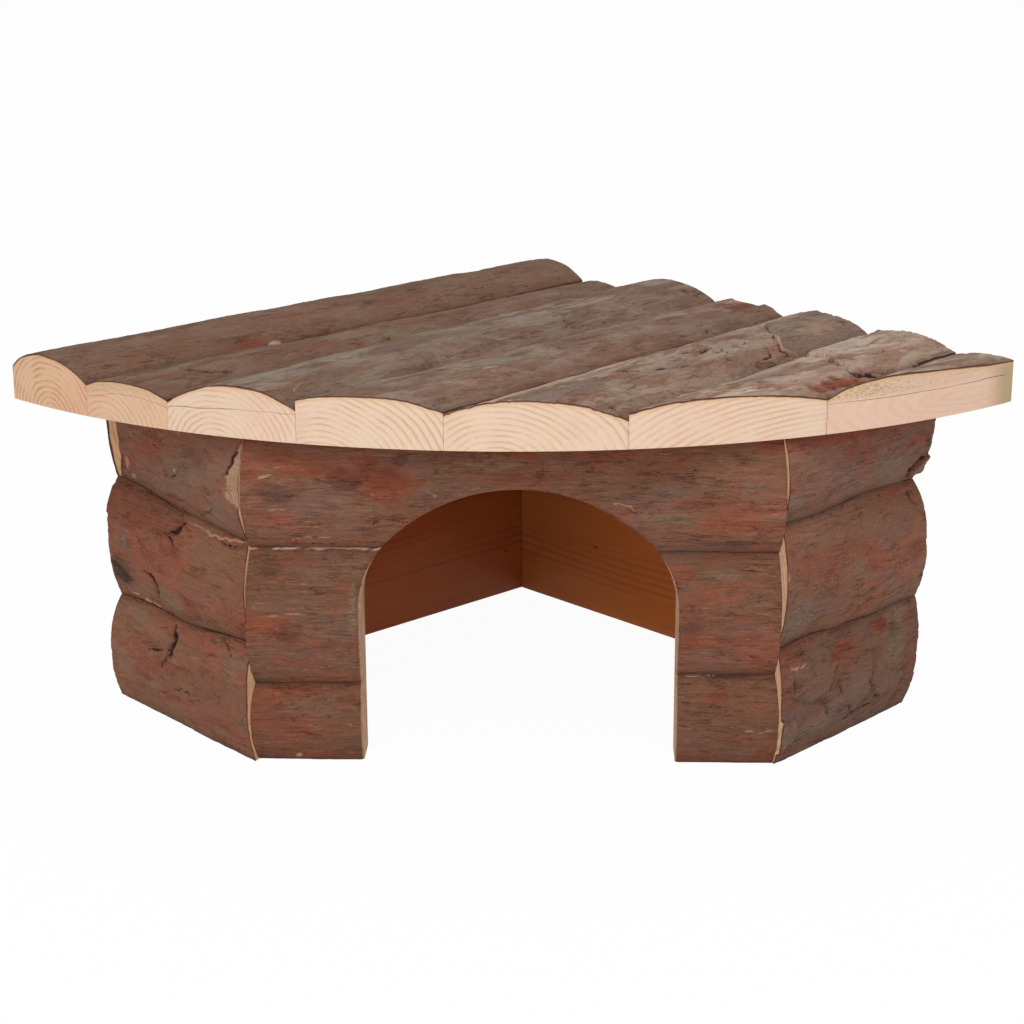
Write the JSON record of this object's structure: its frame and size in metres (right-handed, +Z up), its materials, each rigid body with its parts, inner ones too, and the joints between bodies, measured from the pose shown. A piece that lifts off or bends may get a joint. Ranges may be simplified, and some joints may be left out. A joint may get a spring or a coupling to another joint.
{
  "type": "hamster corner house",
  "caption": "Corner house for a hamster, built of half-round bark slabs, with an arched doorway and a bow-fronted flat roof that lifts off.",
  "frame": {"origin": "under the middle of the roof, on the floor that the walls stand on", "axes": "+X to the right seen from the front, -Y out of the doorway, +Z up"},
  "size_m": [0.2122, 0.1478, 0.0832],
  "materials": {
    "roof_slab": "raw bark, sawn pale ends",
    "front_slab": "raw bark, sawn pale faces",
    "side_slab": "raw bark, sawn pale faces",
    "back_slab": "raw bark, sawn inner faces",
    "batten": "sawn",
    "post": "sawn",
    "nail": "drawn wire"
  },
  "bodies": {
    "house": {"front_top_slab": "front_slab", "front_mid_slab_left": "front_slab", "front_mid_slab_right": "front_slab", "front_low_slab_left": "front_slab", "front_low_slab_right": "front_slab", "left_side_low_slab": "side_slab", "left_side_mid_slab": "side_slab", "left_side_top_slab": "side_slab", "right_side_low_slab": "side_slab", "right_side_mid_slab": "side_slab", "right_side_top_slab": "side_slab", "back_left_low_slab": "back_slab", "back_left_mid_slab": "back_slab", "back_left_top_slab": "back_slab", "back_right_low_slab": "back_slab", "back_right_mid_slab": "back_slab", "back_right_top_slab": "back_slab", "corner_post_far_left": "post", "corner_post_front_left": "post", "corner_post_front_right": "post", "corner_post_far_right": "post", "corner_post_nails": "nail", "back_corner_nails": "nail"},
    "roof": {"roof_slab_1": "roof_slab", "roof_slab_2": "roof_slab", "roof_slab_3": "roof_slab", "roof_slab_4": "roof_slab", "roof_slab_5": "roof_slab", "roof_slab_6": "roof_slab", "roof_slab_7": "roof_slab", "roof_batten_back": "batten", "roof_batten_front": "batten", "roof_nails": "nail"}
  },
  "joints": [
    {"name": "roof_lift", "type": "slide", "parent": "house", "child": "roof", "axis": [0, 0, 1], "range_m": [0, 0.04]}
  ]
}
